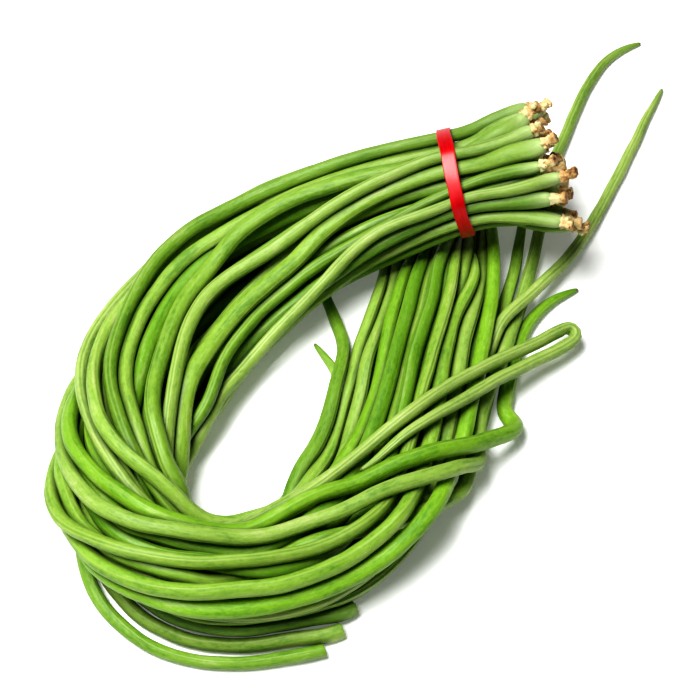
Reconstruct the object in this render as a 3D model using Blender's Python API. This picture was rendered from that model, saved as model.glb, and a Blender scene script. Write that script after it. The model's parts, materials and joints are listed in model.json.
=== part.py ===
"""Bunch of yardlong beans, held near the stem ends by a flat rubber band and
folded into one loop that lies on its side.

Every bean is one solid, from the short dry stem stub to the beaked tip. The
beans leave the band side by side, run left and down, turn back at the left
under one another, run right along the front and turn up again, so that the
head of the bunch lies over its own tips. All lengths are in millimetres until
the meshes are made; x is to the right, y to the back, z up from the table.
"""

import math

import bpy
import numpy as np

# --- driving dimensions, mm -------------------------------------------------
POD_RADIUS = 3.28            # half the thickness of a full pod
RADIUS_SPREAD = 0.26         # pods differ by this share of the radius
NECK_SHARE = 0.82            # pods are this much slimmer inside the band
STUB_RADIUS = 1.8            # dry stem stub at the end of each pod
TIP_TAPER = 90.0             # length over which a pod narrows to its beak
AIR = 0.34                   # least air left between any two pods
FLAT_SHARE = 0.92            # an octagonal pod rests on its underside facet
SIDES = 8                    # facets round a pod
LEAST_STEP = 4.2             # ring spacing in the tightest folds
MOST_STEP = 18.5             # ring spacing on the straights
BEND_PER_STEP = 0.32         # radians of bend allowed between two rings
BAND_WIDTH = 6.4             # flat rubber band, quarter inch
BAND_THICKNESS = 1.2
BAND_AIR = 0.3               # between the band and the pods
BAND_SIDES = 48
BAND_FROM_END = 46.0         # distance of the band from the stem ends

# The bunch as a rope of pods: at each gate its middle, the way it heads in
# plan (degrees from +x), its width and height there, and how far the rope has
# turned about its own line since the band (degrees).
GATES = (
    # x,   y,    z,  heading, width, height, turn
    (96, 68.0, 55.5, 184, 80, 58, 0),
    (66, 61.5, 47.0, 184, 38, 29, 0),
    (43, 59, 42.0, 188, 39, 30, 5),
    (5, 53, 31.5, 200, 50, 34, 14),
    (-32, 39, 21.0, 210, 64, 35, 20),
    (-66, 11, 17.5, 223, 71, 31, 28),
    (-89, -31, 18.0, 243, 64, 34, 42),
    (-99, -68, 22.5, 264, 54, 44, 92),
    (-87, -104, 24.0, 305, 48, 48, 146),
    (-62, -118, 22.5, 350, 44, 45, 167),
    (-30, -114, 18.5, 368, 44, 37, 175),
    (-2, -95, 13.5, 392, 52, 27, 178),
    (19, -62, 10.5, 422, 58, 20, 180),
    (29, -22, 10.5, 434, 53, 20, 180),
    (38, 20, 10.0, 436, 49, 19, 180),
    (45, 52, 9.5, 437, 48, 18, 180),
    (52, 80, 9.0, 437, 47, 16, 180),
    (57, 102, 8.0, 437, 47, 15, 180),
)
# Places across the rope: rings of (pods, share of the half width, first angle).
RINGS = ((5, 0.25, 30.0), (11, 0.565, 10.0), (18, 0.87, 0.0))
OUTER = 16                   # the pods of the outer ring are numbered from here

# Pods that leave the rope: number, gates they still follow, then their own way.
LEAVERS = {
    # Hairpin on top of the bunch: right and back, round, and home again.
    OUTER + 10: (10, (
        (-41, -97, 29), (-20, -87, 30), (0, -70, 30), (21, -51, 30),
        (43, -32, 26), (65, -16, 21), (84, -4, 16), (98, 6, 12),
        (102, 8, 11), (103, 4, 11), (95, -4, 12), (74, -18, 17),
        (52, -35, 23), (38, -48, 26), (20, -60, 28), (2, -72, 27))),
    # Innermost pod of the right side, apart from the others.
    OUTER + 8: (11, (
        (-23, -80, 11), (-16, -66, 12), (-10, -50, 12), (-5, -34, 12),
        (-2, -18, 12), (-2, -3, 8), (-6, 11, 5), (-11, 26, 4), (-14, 40, 4))),
    # Short one below it, whose tip points into the loop.
    OUTER + 7: (11, (
        (-22, -78, 4), (-15, -64, 4), (-9, -48, 4), (-4, -32, 4),
        (-4, -20, 4), (-8, -9, 4), (-15, 1, 4))),
    # Long tip that crosses the right edge and lies out to the back right.
    OUTER + 2: (12, (
        (30, -62, 5), (44, -40, 5), (49, -20, 6), (55, -4, 11), (68, 12, 13),
        (86, 31, 11), (101, 50, 7), (112, 67, 5), (127, 94, 4),
        (140, 121, 4), (149, 138, 4), (154, 148, 4))),
    # Three snapped ends side by side at the front, the outermost pods there.
    OUTER + 1: (8, (
        (-101, -92, 6), (-95, -106, 8), (-84, -118, 10), (-70, -127, 10),
        (-55, -131, 10), (-38, -131, 10), (-18, -128, 9), (2, -123, 9))),
    OUTER + 0: (8, (
        (-106, -93, 5), (-101, -108.5, 4), (-90, -121, 4), (-76.5, -130, 4),
        (-62, -135, 4), (-41, -136, 4), (-20, -132, 4), (-4, -127, 4))),
    OUTER + 17: (8, (
        (-110, -94, 5), (-105.5, -110.5, 4), (-94.5, -123.5, 4), (-81.5, -132, 4),
        (-66.5, -137, 4), (-52, -139, 4), (-38, -138.5, 4), (-21, -134.5, 4),
        (-9, -130, 4))),
    # Three that run on over the turn, fold sharply at the right, and go back
    # under themselves.
    OUTER + 11: (10, (
        (-40, -104, 30), (-12, -90, 30), (15, -76, 28), (40, -64, 22),
        (59, -54, 15), (70, -47, 13), (73, -44, 9), (70, -41, 5),
        (66, -31, 4), (67, -17, 4), (71, -3, 4), (77, 8, 4), (86, 19, 4),
        (95, 27, 4), (103, 31, 4))),
    OUTER + 12: (10, (
        (-40, -111, 30), (-4, -96, 28), (24, -82, 23), (42, -74, 16),
        (53, -67, 13), (56, -64, 9), (54, -59, 5), (54, -46, 4),
        (59, -22, 4), (67, -1, 4), (77, 20, 4), (84, 45, 4), (89, 70, 4),
        (93, 92, 4), (100, 109, 4), (108, 130, 4), (117, 149, 4),
        (128, 165, 4), (137, 173, 4), (146, 177, 4))),
    OUTER + 13: (10, (
        (-40, -118, 28), (-3, -103, 25), (22, -90, 18), (39, -80, 12),
        (46, -75, 8), (45, -70, 5), (47, -58, 4), (52, -40, 4), (55, -20, 4),
        (61, 2, 4), (69, 25, 4), (75, 45, 4), (79, 65, 4), (82, 80, 4))),
}
SNAPPED = (OUTER + 0, OUTER + 1, OUTER + 17)
WANDER = 0.16                # radians a pod wanders round the rope
TIP_SPREAD = (10.0, 58.0)     # how far short of the last gate the tips end

# Spacing the pods apart.
ROUNDS = 760
STIFFNESS = 0.45             # how far a pod keeps its run smooth
HOLD = 0.03                  # how far it keeps to its run
SINK = 0.06                  # how far it sinks on to what lies below, a round
FREE_FROM, FREE_OVER = 90.0, 120.0   # the head is held up by the band


# --- small vector helpers ---------------------------------------------------
def norm(v):
    return np.sqrt(v[:, 0] ** 2 + v[:, 1] ** 2 + v[:, 2] ** 2)


def dot(a, b):
    return a[:, 0] * b[:, 0] + a[:, 1] * b[:, 1] + a[:, 2] * b[:, 2]


def travelled(p):
    return np.concatenate([[0.0], np.cumsum(norm(p[1:] - p[:-1]))])


# --- the run of each pod ----------------------------------------------------
def slope(k):
    a, b = GATES[max(k - 1, 0)], GATES[min(k + 1, len(GATES) - 1)]
    return math.atan2(b[2] - a[2], math.hypot(b[0] - a[0], b[1] - a[1]))


def place(k, share, angle, luck):
    """Where a pod passes gate k, in the plane square to the rope. No pod
    keeps quite to its place: it wanders a little from gate to gate."""
    x, y, z, heading, width, height, turn = GATES[k]
    angle += WANDER * math.sin(1.7 * k + math.tau * luck[1])
    share += 0.3 * WANDER * math.sin(1.3 * k + math.tau * luck[2])
    heading, rise, angle = math.radians(heading), slope(k), angle - math.radians(turn)
    side = share * math.cos(angle) * width / 2
    up = share * math.sin(angle) * height / 2
    back = -up * math.sin(rise)
    return (
        x - side * math.sin(heading) + back * math.cos(heading),
        y + side * math.cos(heading) + back * math.sin(heading),
        z + up * math.cos(rise),
    )


def through(points, step=2.0):
    """Centripetal Catmull-Rom curve through the points."""
    p = np.array(points, float)
    p = np.vstack([2 * p[0] - p[1], p, 2 * p[-1] - p[-2]])
    out = []
    for k in range(1, len(p) - 2):
        p0, p1, p2, p3 = p[k - 1], p[k], p[k + 1], p[k + 2]
        gaps = [math.sqrt(math.dist(a, b)) + 1e-9 for a, b in ((p0, p1), (p1, p2), (p2, p3))]
        t0, t1 = 0.0, gaps[0]
        t2 = t1 + gaps[1]
        t3 = t2 + gaps[2]
        count = max(2, int(math.dist(p1, p2) / step))
        for s in range(count):
            t = t1 + (t2 - t1) * s / count
            a1 = p0 * (t1 - t) / (t1 - t0) + p1 * (t - t0) / (t1 - t0)
            a2 = p1 * (t2 - t) / (t2 - t1) + p2 * (t - t1) / (t2 - t1)
            a3 = p2 * (t3 - t) / (t3 - t2) + p3 * (t - t2) / (t3 - t2)
            b1 = a1 * (t2 - t) / (t2 - t0) + a2 * (t - t0) / (t2 - t0)
            b2 = a2 * (t3 - t) / (t3 - t1) + a3 * (t - t1) / (t3 - t1)
            out.append(b1 * (t2 - t) / (t2 - t1) + b2 * (t - t1) / (t2 - t1))
    out.append(p[-2])
    return np.array(out)


def evenly(p, step):
    s = travelled(p)
    t = np.linspace(0, s[-1], max(2, int(round(s[-1] / step))) + 1)
    return np.stack([np.interp(t, s, p[:, k]) for k in range(3)], 1)


def run_of(number, share, angle, luck):
    if number in LEAVERS:
        kept, rest = LEAVERS[number]
    else:
        kept, rest = len(GATES), ()
    p = through([place(k, share, angle, luck) for k in range(kept)] + list(rest))
    p = evenly(p, 2.0)
    for _ in range(12):
        p[1:-1] = 0.5 * p[1:-1] + 0.25 * (p[:-2] + p[2:])
    p = evenly(p, 2.0)
    # The stem ends are not flush: those at the top back end first.
    upper = share * (0.35 * math.sin(angle) - 0.8 * math.cos(angle))
    p = p[int(3.0 * luck[0] + 3.4 * (0.75 + upper)):]
    if number not in LEAVERS:
        short = TIP_SPREAD[0] + (TIP_SPREAD[1] - TIP_SPREAD[0]) * luck[2]
        p = p[: len(p) - int(short / 2.0)]
    return p


def ring_stations(p):
    """Rings close together where a pod bends, and far apart where it doesn't."""
    d = norm(p[1:] - p[:-1])
    s = travelled(p)
    way = (p[1:] - p[:-1]) / d[:, None]
    bend = norm(way[1:] - way[:-1]) / (0.5 * (d[1:] + d[:-1]))
    bend = np.concatenate([[bend[0]], bend, [bend[-1]]])
    for _ in range(4):
        bend = np.maximum(bend, 0.25 * np.roll(bend, 1) + 0.25 * np.roll(bend, -1) + 0.5 * bend)
    density = 1.0 / np.clip(BEND_PER_STEP / np.maximum(bend, 1e-6), LEAST_STEP, MOST_STEP)
    rings = np.concatenate([[0.0], np.cumsum(0.5 * (density[1:] + density[:-1]) * d)])
    count = max(8, int(round(rings[-1])))
    at = np.interp(np.linspace(0, rings[-1], count + 1), rings, s)
    # Extra rings shape the stub and the beak.
    first = [0.0, 5.0, 8.5, 14.0]
    final = [s[-1] - 14.0, s[-1] - 4.0, s[-1]]
    return np.array(first + [a for a in at if 26.0 < a < s[-1] - 22.0] + final), s


def radius_at(s, length, full, snapped):
    """Stub, calyx, neck, full pod, and a beaked or snapped end."""
    neck = NECK_SHARE * full
    marks = [
        (0.0, STUB_RADIUS), (5.0, 0.95 * STUB_RADIUS), (8.5, 2.7), (14.0, 1.10 * full),
        (21.0, 1.10 * full), (36.0, neck), (58.0, neck), (115.0, 0.96 * full), (165.0, full),
    ]
    if snapped:
        marks += [(length - 14.0, full), (length - 4.0, 0.95 * full), (length, 0.8 * full)]
    else:
        marks += [
            (length - TIP_TAPER, full), (length - 0.45 * TIP_TAPER, 0.84 * full),
            (length - 14.0, 0.52 * full), (length - 4.0, 0.32 * full), (length, 0.22 * full),
        ]
    return np.interp(s, [m[0] for m in marks], [m[1] for m in marks])


# --- spacing the pods apart -------------------------------------------------
def nearest(p1, q1, p2, q2):
    """Nearest points of two straight pieces, as shares along each."""
    d1, d2, r = q1 - p1, q2 - p2, p1 - p2
    a, e, f = dot(d1, d1), dot(d2, d2), dot(d2, r)
    c, b = dot(d1, r), dot(d1, d2)
    den = a * e - b * b
    s = np.where(den > 1e-9 * a * e, np.clip((b * f - c * e) / np.maximum(den, 1e-12), 0, 1), 0.5)
    t = np.clip((b * s + f) / e, 0, 1)
    s = np.clip((b * t - c) / a, 0, 1)
    t = np.clip((b * s + f) / e, 0, 1)
    apart = (p1 + d1 * s[:, None]) - (p2 + d2 * t[:, None])
    return s, t, apart, norm(apart)


def space_out(p, r, start):
    """Moves the pods' middle lines apart until no two pods are nearer than
    AIR, keeping each one's length and smooth run, with each sunk on to the
    pods or the table below it."""
    n = len(p)
    pod = np.zeros(n, int)
    along = np.zeros(n)
    for k in range(len(start) - 1):
        pod[start[k]:start[k + 1]] = k
        along[start[k]:start[k + 1]] = travelled(p[start[k]:start[k + 1]])
    a = np.nonzero(pod[:-1] == pod[1:])[0]
    run, length = p.copy(), norm(p[a + 1] - p[a])
    inner = a[1:][a[1:] == a[:-1] + 1]
    before, after = norm(p[inner] - p[inner - 1]), norm(p[inner + 1] - p[inner])
    share = (after / (before + after))[:, None]
    free = np.clip((along - FREE_FROM) / FREE_OVER, 0.0, 1.0)
    i, j = np.triu_indices(len(a), 1)
    other = (pod[a[i]] != pod[a[j]]) | (along[a[j]] - along[a[i] + 1] > 11.0)
    i, j = i[other], j[other]
    floor = r * FLAT_SHARE
    for count in range(ROUNDS):
        part = count / ROUNDS
        ending = part >= 0.86
        grown = 1.0 if ending else min(1.0, 0.45 + 0.75 * part)
        if not ending:
            off = p - run
            for _ in range(3):
                off[inner] += STIFFNESS * (
                    off[inner - 1] * share + off[inner + 1] * (1 - share) - off[inner]
                )
            hold = HOLD * (1 - 0.5 * part)
            off[:, :2] *= 1 - hold
            off[:, 2] *= 1 - 0.25 * hold
            p = run + off
            p[:, 2] -= SINK * free * (1.0 if part > 0.25 else 0.3)
        for _ in range(2):
            piece = p[a + 1] - p[a]
            long = norm(piece)
            fix = (0.175 * (long - length) / long)[:, None] * piece
            p[a] += fix
            p[a + 1] -= fix
        if count % 8 == 0:
            middle, half = 0.5 * (p[a] + p[a + 1]), 0.5 * norm(p[a + 1] - p[a])
            reach = half[i] + half[j] + 2 * POD_RADIUS * (1 + RADIUS_SPREAD / 2) + AIR + 5.0
            close = norm(middle[i] - middle[j]) < reach
            ai, aj = a[i[close]], a[j[close]]
        for _ in range(3 if ending else 2):
            s, t, apart, gap = nearest(p[ai], p[ai + 1], p[aj], p[aj + 1])
            need = r[ai] * (1 - s) + r[ai + 1] * s + r[aj] * (1 - t) + r[aj + 1] * t
            lack = need * grown + AIR - gap
            hit = np.nonzero(lack > 0)[0]
            if len(hit) == 0:
                break
            s, t, gap, lack = s[hit], t[hit], gap[hit], lack[hit]
            way = apart[hit] / np.maximum(gap, 1e-6)[:, None]
            push = lack / ((1 - s) ** 2 + s ** 2 + (1 - t) ** 2 + t ** 2)
            move, load = np.zeros((n, 3)), np.zeros(n)
            for at, weight, sign in (
                (ai[hit], 1 - s, 1), (ai[hit] + 1, s, 1), (aj[hit], 1 - t, -1), (aj[hit] + 1, t, -1),
            ):
                for c in range(3):
                    move[:, c] += np.bincount(at, sign * weight * push * way[:, c], minlength=n)
                load += np.bincount(at, weight, minlength=n)
            p += move / np.maximum(1.0, 0.62 * load)[:, None]
            p[:, 2] = np.maximum(p[:, 2], floor)
        p[:, 2] = np.maximum(p[:, 2], floor)
        if count % 40 == 39:
            p = np.round(p, 5)
    return p


# --- meshes -----------------------------------------------------------------
def unit(v):
    return v / math.sqrt(float(v[0] ** 2 + v[1] ** 2 + v[2] ** 2))


def cross(a, b):
    return np.array([a[1] * b[2] - a[2] * b[1], a[2] * b[0] - a[0] * b[2], a[0] * b[1] - a[1] * b[0]])


def ring_frames(p):
    """For each ring the way along the pod and two directions across it, with
    a facet facing down wherever the pod lies level."""
    frames = []
    up = np.array([0.0, 0.0, 1.0])
    for k in range(len(p)):
        way = np.zeros(3)
        if k > 0:
            way = way + unit(p[k] - p[k - 1])
        if k < len(p) - 1:
            way = way + unit(p[k + 1] - p[k])
        way = unit(way)
        last = frames[-1][1] if frames else None
        if abs(way[2]) < 0.85 or last is None:
            side = unit(cross(way, up))
        else:
            side = unit(last - way * float((last * way).sum()))
        if last is not None and float((side * last).sum()) < 0:
            side = -side
        frames.append((way, side, cross(side, way)))
    return frames


def pod_mesh(p, r):
    verts, faces = [], []
    for k, (way, side, lift) in enumerate(ring_frames(p)):
        for m in range(SIDES):
            angle = math.tau * (m + 0.5) / SIDES
            v = p[k] + r[k] * (math.cos(angle) * side + math.sin(angle) * lift)
            verts.append([v[0], v[1], max(v[2], 0.0)])
    for k in range(len(p) - 1):
        for m in range(SIDES):
            a, b = k * SIDES + m, k * SIDES + (m + 1) % SIDES
            faces.append((a, a + SIDES, b + SIDES, b))
    for k, outward, way in ((0, 0.1, -1), (len(p) - 1, 0.5, 1)):
        pole = p[k] + way * outward * r[k] * ring_frames(p)[k][0]
        verts.append([pole[0], pole[1], max(pole[2], 0.0)])
        for m in range(SIDES):
            a, b = k * SIDES + m, k * SIDES + (m + 1) % SIDES
            faces.append((a, b, len(verts) - 1) if way < 0 else (b, a, len(verts) - 1))
    return verts, faces


def band_mesh(p, r, start):
    """A flat ring pulled tight round the bunch, square to the pods."""
    crossing = []
    for k in range(len(start) - 1):
        q, s = p[start[k]:start[k + 1]], travelled(p[start[k]:start[k + 1]])
        mid = np.array([np.interp(BAND_FROM_END, s, q[:, c]) for c in range(3)])
        ahead = np.array([np.interp(BAND_FROM_END + 6, s, q[:, c]) for c in range(3)])
        crossing.append((mid, unit(ahead - mid)))
    centre = sum(c[0] for c in crossing) / len(crossing)
    axis = unit(sum(c[1] for c in crossing))
    side = unit(cross(axis, np.array([0.0, 0.0, 1.0])))
    lift = cross(side, axis)
    marks = []
    for k in range(len(start) - 1):
        q, rr = p[start[k]:start[k + 1]], r[start[k]:start[k + 1]]
        s = travelled(q)
        fine = np.arange(10.0, 110.0, 0.8)
        for t in fine:
            v = np.array([np.interp(t, s, q[:, c]) for c in range(3)]) - centre
            if abs(float((v * axis).sum())) < BAND_WIDTH / 2 + 1.0:
                marks.append((float((v * side).sum()), float((v * lift).sum()), 1.03 * float(np.interp(t, s, rr))))
    marks = np.array(marks)
    verts, faces = [], []
    for extra, where in ((BAND_AIR, -1), (BAND_AIR, 1), (BAND_AIR + BAND_THICKNESS, 1), (BAND_AIR + BAND_THICKNESS, -1)):
        reach = []
        for m in range(BAND_SIDES):
            angle = math.tau * m / BAND_SIDES
            reach.append(float((marks[:, 0] * math.cos(angle) + marks[:, 1] * math.sin(angle) + marks[:, 2]).max()) + extra)
        for m in range(BAND_SIDES):
            # The corner where two neighbouring tangent lines meet.
            one, two = math.tau * m / BAND_SIDES, math.tau * (m + 1) / BAND_SIDES
            g, h = reach[m], reach[(m + 1) % BAND_SIDES]
            den = math.sin(two - one)
            x = (g * math.sin(two) - h * math.sin(one)) / den
            y = (h * math.cos(one) - g * math.cos(two)) / den
            v = centre + side * x + lift * y + axis * (where * BAND_WIDTH / 2)
            verts.append([v[0], v[1], v[2]])
    for k in range(4):
        for m in range(BAND_SIDES):
            a, b = k * BAND_SIDES + m, k * BAND_SIDES + (m + 1) % BAND_SIDES
            c, d = (k + 1) % 4 * BAND_SIDES + m, (k + 1) % 4 * BAND_SIDES + (m + 1) % BAND_SIDES
            faces.append((a, b, d, c))
    return verts, faces


def add(name, verts, faces, shift, colour, roughness):
    mesh = bpy.data.meshes.new(name)
    mesh.from_pydata([[(v[c] - shift[c]) / 1000 for c in range(3)] for v in verts], [], faces)
    mesh.validate()
    mesh.update()
    volume = 0.0
    for face in mesh.polygons:
        c = [mesh.vertices[v].co for v in face.vertices]
        for k in range(1, len(c) - 1):
            volume += c[0].dot(c[k].cross(c[k + 1]))
    if volume < 0:
        mesh.flip_normals()
    material = bpy.data.materials.new(name)
    material.use_nodes = True
    shader = material.node_tree.nodes["Principled BSDF"]
    shader.inputs["Base Color"].default_value = (*colour, 1.0)
    shader.inputs["Roughness"].default_value = roughness
    mesh.materials.append(material)
    bpy.context.scene.collection.objects.link(bpy.data.objects.new(name, mesh))


def main():
    for obj in list(bpy.data.objects):
        bpy.data.objects.remove(obj)
    chance = np.random.RandomState(7)
    lines, radii, greens, start = [], [], [], [0]
    number = 0
    for count, share, first in RINGS:
        for k in range(count):
            luck = chance.rand(6)
            run = run_of(number, share, math.radians(first + 360.0 * k / count), luck)
            at, s = ring_stations(run)
            lines.append(np.stack([np.interp(at, s, run[:, c]) for c in range(3)], 1))
            full = POD_RADIUS * (1 + RADIUS_SPREAD * (luck[3] - 0.5))
            radii.append(radius_at(at, s[-1], full, number in SNAPPED))
            greens.append((0.14 + 0.12 * luck[4], 0.36 + 0.12 * luck[5], 0.05))
            start.append(start[-1] + len(at))
            number += 1
    start = np.array(start)
    radii = np.concatenate(radii)
    middle = space_out(np.vstack(lines), radii, start)
    pieces = []
    for k in range(number):
        q, r = middle[start[k]:start[k + 1]], radii[start[k]:start[k + 1]]
        pieces.append((f"bean_{k + 1:02d}", *pod_mesh(q, r), greens[k], 0.45))
    pieces.append(("rubber_band", *band_mesh(middle, radii, start), (0.75, 0.02, 0.03), 0.35))
    every = np.array([v for piece in pieces for v in piece[1]])
    low, high = every.min(0), every.max(0)
    shift = ((low[0] + high[0]) / 2, (low[1] + high[1]) / 2, low[2])
    for name, verts, faces, colour, roughness in pieces:
        add(name, verts, faces, shift, colour, roughness)


main()
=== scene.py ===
"""Looks for the bunch of yardlong beans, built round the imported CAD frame.

Each pod is swept as a fine mesh along the middle line of its CAD node, with
its two sutures, faint seed bumps, pale shoulder and beaked tip. The dry stem
ends and the rubber band are pieces of their own. Lengths here are in
millimetres until a mesh is made; x right, y back, z up from the table.
"""

import json
import math

import bpy
import numpy as np
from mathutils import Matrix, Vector, kdtree, noise

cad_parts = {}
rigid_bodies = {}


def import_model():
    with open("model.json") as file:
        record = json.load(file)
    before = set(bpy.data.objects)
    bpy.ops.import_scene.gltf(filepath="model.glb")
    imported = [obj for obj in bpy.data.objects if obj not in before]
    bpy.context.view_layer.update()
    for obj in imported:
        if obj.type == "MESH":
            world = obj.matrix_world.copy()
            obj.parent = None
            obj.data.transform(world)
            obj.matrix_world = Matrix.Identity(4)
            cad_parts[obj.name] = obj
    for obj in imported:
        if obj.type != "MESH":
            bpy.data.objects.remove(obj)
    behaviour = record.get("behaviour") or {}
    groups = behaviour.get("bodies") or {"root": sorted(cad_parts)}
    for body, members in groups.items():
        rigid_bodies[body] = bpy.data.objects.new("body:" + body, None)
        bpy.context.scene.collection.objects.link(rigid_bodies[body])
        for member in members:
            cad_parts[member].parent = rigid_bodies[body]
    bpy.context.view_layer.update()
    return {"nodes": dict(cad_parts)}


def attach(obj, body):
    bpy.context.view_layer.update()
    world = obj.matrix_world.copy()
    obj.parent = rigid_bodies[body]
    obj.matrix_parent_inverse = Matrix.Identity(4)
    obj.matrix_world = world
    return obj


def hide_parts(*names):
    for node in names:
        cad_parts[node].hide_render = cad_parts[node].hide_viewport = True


for old in list(bpy.data.objects):
    bpy.data.objects.remove(old)
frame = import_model()

STEP = 2.0                # ring spacing along a pod
POD_NODES = sorted(n for n in frame["nodes"] if n.startswith("bean_"))
SNAPPED = ("bean_17", "bean_18", "bean_34")
HAIRPIN = "bean_27"
RUN_LINE = 2.5            # spacing of the lines while they settle
# Angles round a pod, closest together at the two sutures.
HALF = (0, 5.5, 11, 17, 24, 34, 47, 62, 79, 96, 113, 129, 143, 155, 164, 171, 176)
ANGLES = np.radians(np.array(HALF + (180,) + tuple(360 - a for a in HALF[:0:-1])))
chance = np.random.RandomState(11)


# --- reading the middle lines ------------------------------------------------
def weld(obj):
    """The node's own vertices with doubles merged, and its edges."""
    co = np.array([v.co for v in obj.data.vertices], float) * 1000
    tree = kdtree.KDTree(len(co))
    for k, v in enumerate(co):
        tree.insert(v, k)
    tree.balance()
    first = np.full(len(co), -1)
    for k, v in enumerate(co):
        if first[k] < 0:
            for _, other, _ in tree.find_range(v, 0.02):
                if first[other] < 0:
                    first[other] = k
    kept, index = np.unique(first, return_inverse=True)
    near = [set() for _ in kept]
    for face in obj.data.polygons:
        ring = [int(index[v]) for v in face.vertices]
        for a, b in zip(ring, ring[1:] + ring[:1]):
            if a != b:
                near[a].add(b)
                near[b].add(a)
    return co[kept], near


def layers_from(near, start):
    seen, layer, out = {start}, [start], []
    while layer:
        out.append(layer)
        layer = sorted({b for a in layer for b in near[a]} - seen)
        seen.update(layer)
    return out


def middle_line(obj):
    """Ring centres and radii of a pod's node, from the stem end to the tip."""
    co, near = weld(obj)
    end = layers_from(near, 0)[-1][0]
    layers = layers_from(near, end)
    rings = [layer for layer in layers if len(layer) >= 4]
    centres = np.array([co[r].mean(0) for r in rings])
    radii = np.array([np.linalg.norm(co[r] - c, axis=1).mean() for r, c in zip(rings, centres)])
    if abs(radii[0] - 1.8) > abs(radii[-1] - 1.8):
        centres, radii = centres[::-1], radii[::-1]
    return centres, radii


def smooth_line(points, step):
    """Natural cubic spline through the points by chord length, evenly spaced."""
    s = np.concatenate([[0.0], np.cumsum(np.linalg.norm(np.diff(points, axis=0), axis=1))])
    n, h = len(points), np.diff(s)
    matrix, right = np.zeros((n, n)), np.zeros((n, 3))
    matrix[0, 0] = matrix[-1, -1] = 1.0
    for k in range(1, n - 1):
        matrix[k, k - 1], matrix[k, k], matrix[k, k + 1] = h[k - 1], 2 * (h[k - 1] + h[k]), h[k]
        right[k] = 6 * ((points[k + 1] - points[k]) / h[k] - (points[k] - points[k - 1]) / h[k - 1])
    bend = np.linalg.solve(matrix, right)
    fine = np.arange(0.0, s[-1], 0.5)
    fine = np.append(fine, s[-1])
    k = np.clip(np.searchsorted(s, fine, side="right") - 1, 0, n - 2)
    a, b = (s[k + 1] - fine)[:, None], (fine - s[k])[:, None]
    hk = h[k][:, None]
    curve = (
        bend[k] * a**3 / (6 * hk) + bend[k + 1] * b**3 / (6 * hk)
        + (points[k] / hk - bend[k] * hk / 6) * a + (points[k + 1] / hk - bend[k + 1] * hk / 6) * b
    )
    return evenly(curve, step)


def travelled(p):
    return np.concatenate([[0.0], np.cumsum(np.linalg.norm(np.diff(p, axis=0), axis=1))])


def evenly(p, step):
    s = travelled(p)
    t = np.linspace(0, s[-1], max(3, int(round(s[-1] / step)) + 1))
    return np.stack([np.interp(t, s, p[:, c]) for c in range(3)], 1)


# --- pods resting on one another ----------------------------------------------
def nearest(p1, q1, p2, q2):
    d1, d2, r = q1 - p1, q2 - p2, p1 - p2
    a, e, f = (d1 * d1).sum(1), (d2 * d2).sum(1), (d2 * r).sum(1)
    c, b = (d1 * r).sum(1), (d1 * d2).sum(1)
    den = a * e - b * b
    s = np.where(den > 1e-9 * a * e, np.clip((b * f - c * e) / np.maximum(den, 1e-12), 0, 1), 0.5)
    t = np.clip((b * s + f) / e, 0, 1)
    s = np.clip((b * t - c) / a, 0, 1)
    apart = (p1 + d1 * s[:, None]) - (p2 + d2 * t[:, None])
    return s, t, apart, np.linalg.norm(apart, axis=1)


def settle(p, r, start, wander, rounds=64):
    """Gives the lines their small wander and rests the pods on one another,
    with no overlap."""
    n = len(p)
    pod = np.zeros(n, int)
    for k in range(len(start) - 1):
        pod[start[k]:start[k + 1]] = k
    a = np.nonzero(pod[:-1] == pod[1:])[0]
    inner = a[1:][a[1:] == a[:-1] + 1]
    home = p + wander
    length = np.linalg.norm(p[a + 1] - p[a], axis=1)
    floor = 0.97 * r
    p = home.copy()
    for count in range(rounds):
        ending = count >= rounds - 12
        if not ending:
            off = p - home
            for _ in range(2):
                off[inner] += 0.45 * (0.5 * (off[inner - 1] + off[inner + 1]) - off[inner])
            p = home + 0.975 * off
            piece = p[a + 1] - p[a]
            long = np.linalg.norm(piece, axis=1)
            fix = (0.2 * (long - length) / long)[:, None] * piece
            p[a] += fix
            p[a + 1] -= fix
        if count % 8 == 0:
            tree = kdtree.KDTree(len(a))
            middle = 0.5 * (p[a] + p[a + 1])
            for k, v in enumerate(middle):
                tree.insert(v, k)
            tree.balance()
            pairs = [
                (k, other)
                for k, v in enumerate(middle)
                for _, other, _ in tree.find_range(v, 12.0)
                if other > k and (pod[a[other]] != pod[a[k]] or abs(a[other] - a[k]) > 6)
            ]
            pairs = np.array(pairs)
            ai, aj = a[pairs[:, 0]], a[pairs[:, 1]]
        for _ in range(2):
            s, t, apart, gap = nearest(p[ai], p[ai + 1], p[aj], p[aj + 1])
            need = r[ai] * (1 - s) + r[ai + 1] * s + r[aj] * (1 - t) + r[aj + 1] * t
            lack = need - gap
            hit = np.nonzero(lack > 0)[0]
            if len(hit) == 0:
                break
            s, t, gap, lack = s[hit], t[hit], gap[hit], lack[hit]
            way = apart[hit] / np.maximum(gap, 1e-6)[:, None]
            push = lack / ((1 - s) ** 2 + s**2 + (1 - t) ** 2 + t**2)
            move, load = np.zeros((n, 3)), np.zeros(n)
            for at, weight, sign in (
                (ai[hit], 1 - s, 1), (ai[hit] + 1, s, 1), (aj[hit], 1 - t, -1), (aj[hit] + 1, t, -1),
            ):
                for c in range(3):
                    move[:, c] += np.bincount(at, sign * weight * push * way[:, c], minlength=n)
                load += np.bincount(at, weight, minlength=n)
            p += move / np.maximum(1.0, 0.6 * load)[:, None]
            p[:, 2] = np.maximum(p[:, 2], floor)
        p = np.round(p, 5)
    return p


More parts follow.
